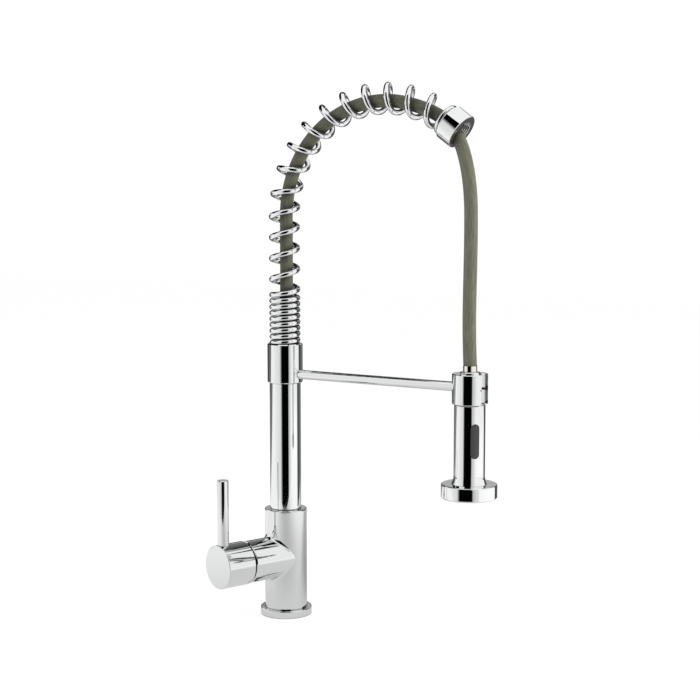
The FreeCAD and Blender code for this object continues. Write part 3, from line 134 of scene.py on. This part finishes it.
def graded(tree, place, measure, point, start, end, tones):
    """A tone that changes smoothly with the distance from a point, or with the way along a direction."""
    gauge = put(tree, "ShaderNodeVectorMath", {0: place.outputs["Object"], 1: point}, operation=measure)
    return put(tree, "ShaderNodeMapRange", {"Value": gauge.outputs["Value"],
                                            "From Min": start, "From Max": end,
                                            "To Min": tones[0], "To Max": tones[1]},
               interpolation_type="SMOOTHSTEP")


table_half = 4.0
table_z = -0.0002
table = flat_sheet("table", [(-table_half, -table_half, table_z), (table_half, -table_half, table_z),
                             (table_half, table_half, table_z), (-table_half, table_half, table_z)])
white_card, tree = bare_material("white card")
ray = put(tree, "ShaderNodeLightPath")
place = put(tree, "ShaderNodeTexCoord")
paper = put(tree, "ShaderNodeBsdfDiffuse", {"Color": linear("f4f4f2")})
# Painted shade in the table's glow as seen in the metal: darker near the tap, in front of it and in a patch
# behind the column.
shade_near_tap = graded(tree, place, "DISTANCE", (0.10, 0.0, 0.0), 0.15, 0.5, (0.80, 1.06))
front = graded(tree, place, "DISTANCE", (0.28, -0.45, 0.0), 0.0, 0.6, (0.50, 0.0))
behind = graded(tree, place, "DOT_PRODUCT", (-0.541, 0.841, 0.0), 0.44, 0.68, (1.0, 0.08))
shade_behind_column = graded(tree, place, "DISTANCE", (-0.03, 0.380, 0.0), 0.22, 0.42, (0.42, 1.0))
tone = put(tree, "ShaderNodeMath", {0: shade_near_tap.outputs[0], 1: front.outputs[0]}, operation="SUBTRACT")
for part in (behind, shade_behind_column):
    tone = put(tree, "ShaderNodeMath", {0: tone.outputs[0], 1: part.outputs[0]}, operation="MULTIPLY")
tone_to_eye = 1.07
glow = put(tree, "ShaderNodeMix", {0: ray.outputs["Is Camera Ray"], 2: tone.outputs[0], 3: tone_to_eye})
white = put(tree, "ShaderNodeEmission", {"Color": linear("ffffff"), "Strength": glow.outputs[0]})
glow_share = 0.85
share = put(tree, "ShaderNodeMath", {0: seen_rays(tree, ray).outputs[0], 1: glow_share}, operation="MULTIPLY")
both = put(tree, "ShaderNodeMixShader", {0: share.outputs[0], 1: paper.outputs[0], 2: white.outputs[0]})
put(tree, "ShaderNodeOutputMaterial", {"Surface": both.outputs[0]})
table.data.materials.append(white_card)


# Cards: sheets that stand round the tap, out of sight, and show only in its polished metal.
# A black one in front makes the dark band down each tube; grey ones behind make the thin dark edges,
# and dark ones high on the left line the wires of the spring.
def card(name, foot, low, top, tones):
    """An upright card over the line foot, between two heights; its tone runs from end to end."""
    (x0, y0), (x1, y1) = foot
    sheet = flat_sheet(name, [(x0, y0, low), (x1, y1, low), (x1, y1, top), (x0, y0, top)])
    material, tree = bare_material(name)
    spot = put(tree, "ShaderNodeTexCoord")
    along = put(tree, "ShaderNodeVectorMath", {0: spot.outputs["Object"], 1: (x0, y0, 0.0)},
                operation="SUBTRACT")
    span = Vector((x1 - x0, y1 - y0, 0))
    way = put(tree, "ShaderNodeVectorMath", {0: along.outputs[0], 1: tuple(span / span.length_squared)},
              operation="DOT_PRODUCT")
    blend = put(tree, "ShaderNodeMix", {0: way.outputs["Value"], 6: linear(tones[0]), 7: linear(tones[1])},
                data_type="RGBA")
    light = put(tree, "ShaderNodeEmission", {"Color": blend.outputs[2]})
    put(tree, "ShaderNodeOutputMaterial", {"Surface": light.outputs[0]})
    sheet.data.materials.append(material)
    sheet.visible_camera = False
    sheet.visible_diffuse = False
    sheet.visible_shadow = False
    sheet.visible_transmission = False


card("front_card", [(0.095, -0.540), (0.490, -0.352)], 0.003, 1.06, ("030303", "030303"))
card("front_left_edge_card", [(0.095, -0.540), (-0.030, -0.600)], 0.003, 1.06, ("030303", "e6e6e6"))
card("front_right_edge_card", [(0.490, -0.352), (0.530, -0.333)], 0.003, 1.06, ("030303", "cacaca"))
card("left_card", [(-0.030, -0.600), (-0.600, -0.450)], 0.003, 1.06, ("e6e6e6", "ffffff"))
card("left_high_card", [(-0.650, -0.500), (-0.650, 0.150)], 0.65, 1.85, ("080808", "101010"))
card("back_left_high_card", [(-0.650, 0.150), (-0.450, 0.620)], 0.42, 1.75, ("101010", "202020"))
card("back_high_card", [(-0.450, 0.620), (-0.020, 0.735)], 0.40, 1.45, ("808080", "202020"))
card("right_front_card", [(0.530, -0.333), (0.750, -0.200)], 0.003, 1.06, ("cacaca", "fafafa"))
card("right_card", [(0.405, 0.348), (0.060, 0.760)], 0.003, 0.95, ("3c3c3c", "808080"))
card("back_card", [(-0.30, 1.90), (-1.90, 0.25)], 0.003, 0.45, ("4c4c4c", "4c4c4c"))
card("back_upper_card", [(-0.30, 1.90), (-1.90, 0.25)], 0.45, 0.80, ("b4b4b4", "b4b4b4"))
card("back_right_card", [(0.060, 0.760), (-0.30, 1.90)], 0.003, 0.45, ("808080", "606060"))


# Base ring and mixer body: the foot on the deck, and the cast brass column with its side boss.
# Both are turned where they show, then polished and chrome plated; two tapped holes take the inlets.
def chrome_plate(name, tone, smear_mm, wave_mm, gap_mm):
    """Polished chrome plate with smears and waves of a real size, and painted shade that darkens it in narrow
    gaps.
    """
    material, tree = bare_material(name)
    place = put(tree, "ShaderNodeTexCoord")
    smears = put(tree, "ShaderNodeTexNoise", {"Vector": place.outputs["Object"], "Scale": 1000 / smear_mm,
                                              "Detail": 4.0, "Roughness": 0.6})
    rough = put(tree, "ShaderNodeMapRange", {"Value": smears.outputs[0], "From Min": 0.35, "From Max": 0.75,
                                             "To Min": 0.025, "To Max": 0.075})
    waves = put(tree, "ShaderNodeTexNoise", {"Vector": place.outputs["Object"], "Scale": 1000 / wave_mm,
                                             "Detail": 1.0})
    bump = put(tree, "ShaderNodeBump", {"Height": waves.outputs[0], "Strength": 0.25, "Distance": 0.00006})
    # Painted shade: where other surfaces come within gap_mm, the plate's colour falls towards a dark grey.
    shade_probe = put(tree, "ShaderNodeAmbientOcclusion", {"Distance": gap_mm / 1000}, samples=8)
    clear = put(tree, "ShaderNodeMapRange", {"Value": shade_probe.outputs["AO"], "From Min": 0.35,
                                             "From Max": 0.85})
    painted_gap_shade = "3a3b3c"
    plate = put(tree, "ShaderNodeMix", {0: clear.outputs[0], 6: linear(painted_gap_shade), 7: linear(tone)},
                data_type="RGBA")
    metal = put(tree, "ShaderNodeBsdfPrincipled", {"Base Color": plate.outputs[2], "Metallic": 1.0,
                                                   "Roughness": rough.outputs[0], "Normal": bump.outputs[0]})
    put(tree, "ShaderNodeOutputMaterial", {"Surface": metal.outputs[0]})
    return material


def finish_node(material, *names):
    """Give CAD pieces their material."""
    for name in names:
        nodes[name].data.materials.clear()
        nodes[name].data.materials.append(material)


# A clear mirror, with faint smears from handling and the slight wave of hand polishing.
body_chrome = chrome_plate("chrome plate on cast brass", "e4e5e5", 14, 16, 2)
finish_node(body_chrome, "base_ring", "mixer_body")


# Seals: moulded rubber rings and washers under the base, round the riser's foot, in the neck and
# behind the cartridge, and the two pads in the clip's slot that stop the neck from rattling.
def moulded(name, tone, roughness, grain_mm):
    """Moulded rubber, plastic or ceramic: an even colour, a fine grain and a soft sheen."""
    material, tree = bare_material(name)
    place = put(tree, "ShaderNodeTexCoord")
    grain = put(tree, "ShaderNodeTexNoise", {"Vector": place.outputs["Object"], "Scale": 1000 / grain_mm,
                                             "Detail": 3.0})
    grain_share = 0.12
    shade = put(tree, "ShaderNodeMix", {0: grain_share, 6: linear(tone), 7: grain.outputs["Color"]},
                data_type="RGBA", blend_type="OVERLAY")
    bump = put(tree, "ShaderNodeBump", {"Height": grain.outputs[0], "Strength": 0.3, "Distance": 0.00004})
    skin = put(tree, "ShaderNodeBsdfPrincipled", {"Base Color": shade.outputs[2], "Roughness": roughness,
                                                  "Normal": bump.outputs[0]})
    put(tree, "ShaderNodeOutputMaterial", {"Surface": skin.outputs[0]})
    return material


# Dull black, with the fine grain that the mould leaves.
finish_node(moulded("black nitrile rubber", "151515", 0.65, 0.5),
            "base_seal", "foot_seals", "neck_washer", "slot_pads", "cartridge_gasket")

# Cartridge: the mixing valve in the boss, with a moulded housing, base, rotor and carrier; two lapped
# ceramic discs slide on each other inside it, and the ring nut holds it in its seat. The slip ring
# and the handset's inner pieces are moulded in the same acetal, which looks waxy and pale.
acetal = moulded("moulded grey acetal", "c9cbcc", 0.4, 0.6)
finish_node(acetal, "cartridge_base", "cartridge_housing", "rotor", "disc_carrier", "slip_ring",
            "handset_core", "check_valve", "button_plunger")
# The lapped discs are whiter and shine softly.
finish_node(moulded("lapped alumina ceramic", "f1efe9", 0.15, 0.3), "fixed_disc", "moving_disc")


# Brass and steel fittings: the riser's foot and plug, the hose's nipple and its sleeve, spindle, ring
# nut, screws and pin, all turned from bar and left bare inside the tap, and the button's wire spring.
def turned_metal(name, tone, roughness, mark_mm):
    """Bare turned metal with level tool marks, one to every mark_mm of height."""
    material, tree = bare_material(name)
    place = put(tree, "ShaderNodeTexCoord")
    waves_at_scale_one = 20 / (2 * math.pi)
    marks = put(tree, "ShaderNodeTexWave", {"Vector": place.outputs["Object"], "Distortion": 1.5,
                                            "Scale": 1000 / mark_mm / waves_at_scale_one},
                bands_direction="Z")
    rough = put(tree, "ShaderNodeMapRange", {"Value": marks.outputs[1], "To Min": roughness * 0.8,
                                             "To Max": roughness * 1.3})
    metal = put(tree, "ShaderNodeBsdfPrincipled", {"Base Color": linear(tone), "Metallic": 1.0,
                                                   "Roughness": rough.outputs[0]})
    put(tree, "ShaderNodeOutputMaterial", {"Surface": metal.outputs[0]})
    return material


# Warm yellow brass and cooler grey steel. Faint marks of the lathe tool run round the upright pieces;
# they are drawn coarser than real ones, to show.
finish_node(turned_metal("turned brass", "d9b878", 0.25, 2.513),
            "riser_foot", "riser_plug", "hose_nipple", "spindle", "cartridge_nut")
finish_node(turned_metal("turned stainless steel", "c3c4c6", 0.28, 2.513),
            "lock_screw", "collar_screw", "cap_screw", "pivot_pin", "hose_tail_sleeve", "button_spring")

# Lever: the hollow brass cap held on the cartridge's spindle by a grub screw, and the pin screwed
# into the top of the cap. Both are plated with the body and have its finish.
finish_node(body_chrome, "lever_cap", "lever_pin")

# Riser, collar, arm, clip and ferrule: drawn brass tube, and turned pieces soldered or screwed to it.
# The collar carries the spring and the arm; the clip at the end of the arm holds the handset.
# Drawn tube takes a brighter polish than the casting, with longer waves.
tube_chrome = chrome_plate("chrome plate on drawn brass", "eeefef", 20, 30, 2)
finish_node(tube_chrome, "riser_tube", "collar", "arm_rod", "handset_clip", "spring_ferrule")


# Support spring: one steel wire, wound tight on the collar and open over the arch, then chrome
# plated. Its foot is bent into a hole in the collar; its last half turn lies flat on the ferrule.
def sweep_tree():
    """Sweep a round section along a curve, and keep where each point lies along and round it."""
    tree = bpy.data.node_groups.new("round section along a path", "GeometryNodeTree")
    sockets = tree.interface
    sockets.new_socket("Path", in_out="INPUT", socket_type="NodeSocketGeometry")
    sockets.new_socket("Radius", in_out="INPUT", socket_type="NodeSocketFloat")
    sockets.new_socket("Sides", in_out="INPUT", socket_type="NodeSocketInt")
    sockets.new_socket("Material", in_out="INPUT", socket_type="NodeSocketMaterial")
    sockets.new_socket("Tube", in_out="OUTPUT", socket_type="NodeSocketGeometry")
    given = put(tree, "NodeGroupInput")
    length = put(tree, "GeometryNodeSplineParameter")
    path = put(tree, "GeometryNodeCaptureAttribute")
    path.capture_items.new("FLOAT", "along")
    tree.links.new(given.outputs["Path"], path.inputs[0])
    tree.links.new(length.outputs["Length"], path.inputs[1])
    circle = put(tree, "GeometryNodeCurvePrimitiveCircle", {"Resolution": given.outputs["Sides"],
                                                            "Radius": given.outputs["Radius"]})
    spot = put(tree, "GeometryNodeInputPosition")
    section = put(tree, "GeometryNodeCaptureAttribute")
    section.capture_items.new("VECTOR", "ring")
    tree.links.new(circle.outputs["Curve"], section.inputs[0])
    tree.links.new(spot.outputs[0], section.inputs[1])
    swept = put(tree, "GeometryNodeCurveToMesh", {"Curve": path.outputs[0], "Fill Caps": True,
                                                  "Profile Curve": section.outputs[0]})
    along = put(tree, "GeometryNodeStoreNamedAttribute", {"Geometry": swept.outputs[0], "Name": "along",
                                                          "Value": path.outputs[1]},
                data_type="FLOAT", domain="POINT")
    ring = put(tree, "GeometryNodeStoreNamedAttribute", {"Geometry": along.outputs[0], "Name": "ring",
                                                         "Value": section.outputs[1]},
               data_type="FLOAT_VECTOR", domain="POINT")
    smooth = put(tree, "GeometryNodeSetShadeSmooth", {"Geometry": ring.outputs[0]})
    real = put(tree, "GeometryNodeRealizeInstances", {"Geometry": smooth.outputs[0]})
    painted = put(tree, "GeometryNodeSetMaterial", {"Geometry": real.outputs[0],
                                                    "Material": given.outputs["Material"]})
    put(tree, "NodeGroupOutput", {0: painted.outputs[0]})
    return tree


sweep = sweep_tree()


def path_object(name, points, nurbs):
    """A curve through points, or smoothed by them as control points."""
    curve = bpy.data.curves.new(name, "CURVE")
    curve.dimensions = "3D"
    spline = curve.splines.new("NURBS" if nurbs else "POLY")
    spline.points.add(len(points) - 1)
    for target, point in zip(spline.points, points):
        target.co = (*point, 1.0)
    if nurbs:
        spline.order_u = 3
        spline.use_endpoint_u = True
        spline.resolution_u = 16
    thing = bpy.data.objects.new(name, curve)
    scene.collection.objects.link(thing)
    return thing


def swept_piece(name, points, radius, sides, material, nurbs):
    """A round piece along a path, as a plain mesh."""
    path = path_object(f"{name}_path", points, nurbs)
    modifier = path.modifiers.new("sweep", "NODES")
    modifier.node_group = sweep
    wanted = {"Radius": radius, "Sides": sides, "Material": material}
    for item in sweep.interface.items_tree:
        if item.in_out == "INPUT" and item.name in wanted:
            modifier[item.identifier] = wanted[item.name]
    depsgraph = bpy.context.evaluated_depsgraph_get()
    mesh = bpy.data.meshes.new_from_object(path.evaluated_get(depsgraph))
    bpy.data.objects.remove(path)
    piece = bpy.data.objects.new(name, mesh)
    scene.collection.objects.link(piece)
    return piece


wire_r = 0.0029
coil_r = 0.0136
coil_start = math.radians(21.5)
recess_floor = 0.2803
arch_r = 0.120
arch_z = 0.4275
arch_turn = math.radians(125.5)
arch_end = arch_z + arch_r * arch_turn


def on_coil(angle, reached):
    """The middle of the wire at an angle round the coil and a distance along the arch."""
    bend = max(min(reached, arch_end) - arch_z, 0) / arch_r
    outward = Vector((-math.cos(bend), 0, math.sin(bend)))
    forward = Vector((math.sin(bend), 0, math.cos(bend)))
    straight = min(reached - arch_z, 0) + max(reached - arch_end, 0)
    middle = Vector((arch_r, 0, arch_z)) + outward * arch_r + forward * straight
    return middle + (outward * math.cos(angle) + Vector((0, -1, 0)) * math.sin(angle)) * coil_r


# The foot stands in the collar's hole, then bends over into the first turn.
wire = []
leg_depth = 2 * wire_r
leg_steps = 4
leg_bend = 0.007
leg_turn = leg_bend / coil_r
bend_steps = 8
for step in range(leg_steps + 1):
    wire.append(on_coil(coil_start - leg_turn, recess_floor - leg_depth * (1 - step / leg_steps)))
for step in range(1, bend_steps):
    lift = math.pi / 2 * step / bend_steps
    wire.append(on_coil(coil_start - leg_turn * math.cos(lift), recess_floor + leg_bend * math.sin(lift)))

# Each quarter turn has its own pitch: tight, opening out, open, then falling a little round the arch
# to a short last one, and none in the half turn that lies on the ferrule.
tight_pitch = 0.00633
tight_quarters = 36
opening_shares = (1 / 6, 1 / 2, 5 / 6)
open_pitch = 0.022
open_quarters = 17
arch_quarters = 40
arch_fall = 0.04
last_share = 0.6
flat_quarters = 2
seat_past_arch = 0.003
seat_gap = 0.00005
quarters = [tight_pitch] * tight_quarters
quarters += [tight_pitch + (open_pitch - tight_pitch) * share for share in opening_shares]
quarters += [open_pitch] * open_quarters
coil_end = arch_end + seat_past_arch - wire_r - seat_gap
spare = coil_end - recess_floor - leg_bend - sum(quarters) / 4
shares = [1 + arch_fall * (1 - 2 * step / arch_quarters) for step in range(arch_quarters - 1)]
shares.append(last_share)
quarters += [4 * spare * share / sum(shares) for share in shares]
quarters += [0.0] * flat_quarters
knots = [recess_floor + leg_bend]
slopes = [tight_pitch / 4]
for number, pitch in enumerate(quarters):
    after = quarters[min(number + 1, len(quarters) - 1)]
    knots.append(knots[-1] + pitch / 4)
    slopes.append((pitch + after) / 8 if after else 0.0)
quarter_steps = 10
for number in range(len(quarters)):
    rise = knots[number + 1] - knots[number]
    for step in range(quarter_steps):
        way = step / quarter_steps
        reached = (knots[number] + rise * way * way * (3 - 2 * way) + slopes[number] * way * (1 - way) ** 2
                   - slopes[number + 1] * way * way * (1 - way))
        wire.append(on_coil(coil_start + math.pi / 2 * (number + way), reached))
wire.append(on_coil(coil_start + math.pi / 2 * len(quarters), knots[-1]))
# A bright mirror with short waves; painted shade darkens it where the wires crowd each other and the hose.
wire_chrome = chrome_plate("chrome plate on spring wire", "eff0f1", 9, 12, 6)
spring = swept_piece("spring_wire", wire, wire_r, 20, wire_chrome, nurbs=False)
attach(spring, "spout")
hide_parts("support_spring")


# Hose in the spring: a rubber tube in a woven sheath of olive-grey thread, crimped to its nipple
# in the riser's foot. It rises through the collar and leans on the spring over the arch.
def woven_sheath(name, pale, dark, thread_mm):
    """Sheath of thread laid along a hose."""
    material, tree = bare_material(name)
    ring = put(tree, "ShaderNodeAttribute", attribute_name="ring")
    along = put(tree, "ShaderNodeAttribute", attribute_name="along")
    round_way = put(tree, "ShaderNodeVectorMath", {0: ring.outputs["Vector"], 3: 1000 / thread_mm},
                    operation="SCALE")
    streak_mm = 14 * thread_mm
    length = put(tree, "ShaderNodeMath", {0: along.outputs["Fac"], 1: 1000 / streak_mm}, operation="MULTIPLY")
    parts = put(tree, "ShaderNodeSeparateXYZ", {0: round_way.outputs[0]})
    spot = put(tree, "ShaderNodeCombineXYZ", {0: parts.outputs[0], 1: parts.outputs[1], 2: length.outputs[0]})
    streaks = put(tree, "ShaderNodeTexNoise", {"Vector": spot.outputs[0], "Scale": 1.0, "Detail": 4.0,
                                               "Roughness": 0.65})
    tones = put(tree, "ShaderNodeMapRange", {"Value": streaks.outputs[0], "From Min": 0.36, "From Max": 0.64})
    shade = put(tree, "ShaderNodeMix", {0: tones.outputs[0], 6: linear(dark), 7: linear(pale)},
                data_type="RGBA")
    # Painted shade: the thread is darker where the spring's wires and other pieces lie close round it.
    shade_probe = put(tree, "ShaderNodeAmbientOcclusion", {"Distance": 0.016}, samples=8)
    dull = put(tree, "ShaderNodeMapRange", {"Value": shade_probe.outputs["AO"], "From Min": 0.4, "To Min": 0.2})
    shaded_thread_colour = put(tree, "ShaderNodeMix", {0: 1.0, 6: shade.outputs[2], 7: dull.outputs[0]},
               data_type="RGBA", blend_type="MULTIPLY")
    bump = put(tree, "ShaderNodeBump", {"Height": streaks.outputs[0], "Strength": 0.5, "Distance": 0.0002})
    cloth = put(tree, "ShaderNodeBsdfPrincipled", {"Base Color": shaded_thread_colour.outputs[2], "Roughness": 0.75,
                                                   "Specular IOR Level": 0.3, "Sheen Weight": 0.15,
                                                   "Normal": bump.outputs[0]})
    put(tree, "ShaderNodeOutputMaterial", {"Surface": cloth.outputs[0]})
    return material


# Dull thread: fine pale and dark streaks along the hose, drawn coarser than real thread to show;
# between the wires of the spring, where little light comes in, painted shade makes it darker.
sheath = woven_sheath("woven olive sheath", "7b7a6a", "5f6051", 1.0)
hose_r = 0.0068
hose_points = [(0, 0, 0.14015), (0, 0, 0.2400), (0, 0, 0.3050), (0.0024, 0, 0.3450), (0.0024, 0, 0.4004),
               (0.0024, 0, 0.4546), (0.0262, 0, 0.5034), (0.0690, 0, 0.5369), (0.1221, 0, 0.5482),
               (0.1748, 0, 0.5350), (0.1960, 0, 0.5184), (0.20242, 0, 0.50947)]
held_hose = swept_piece("hose_in_coil", hose_points, hose_r, 40, sheath, nurbs=True)
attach(held_hose, "spout")
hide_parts("hose_in_spring")

# Free hose: the same hose from the ferrule to the handset, hung in a slight curve by its own weight.
drop_points = [(0.20242, 0, 0.50947), (0.2066, 0, 0.5010), (0.2113, 0, 0.4870), (0.2150, 0, 0.4700),
               (0.2176, 0, 0.4480), (0.2181, 0, 0.4150), (0.2174, 0, 0.3700), (0.2168, 0, 0.3300),
               (0.2174, 0, 0.3000), (0.2183, 0, 0.2830)]
drop_line = path_object("hose_drop_line", drop_points, nurbs=True)
line_mesh = bpy.data.meshes.new_from_object(drop_line.evaluated_get(bpy.context.evaluated_depsgraph_get()))
drop_path = [tuple(point.co) for point in line_mesh.vertices]
bpy.data.objects.remove(drop_line)
free_hose = swept_piece("hose_free", drop_path, hose_r, 40, sheath, nurbs=False)
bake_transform(free_hose)
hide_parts("hose_drop")

# Handset: the turned brass shell with its flange, the neck that sits in the clip, and the sleeve
# crimped on the end of the hose. The neck's foot is held under the top of the shell, the sleeve turns
# in the neck; shell and neck are chrome plated, the sleeve nickel plated.
finish_node(tube_chrome, "hose_neck", "handset_shell")
# Nickel is a mirror like chrome, a little warmer.
finish_node(chrome_plate("nickel plate on the crimped sleeve", "f1efe2", 6, 8, 2), "hose_end_sleeve")

# Button and nozzles: the oblong button in the shell's side and the two rings of spray nozzles.
# Both are moulded in silicone, dark and matt; the button's lip is held behind the shell's opening.
finish_node(moulded("dark grey silicone rubber", "3c3c3d", 0.55, 0.4), "spray_button", "spray_nozzles")

# Spray face and aerator: the moulded disc in the mouth of the shell and the round cup in its middle.
# Both are pressed in from below. Grey plastic with a soft sheen.
finish_node(moulded("moulded grey face plastic", "8d9093", 0.42, 0.5), "spray_face", "aerator")
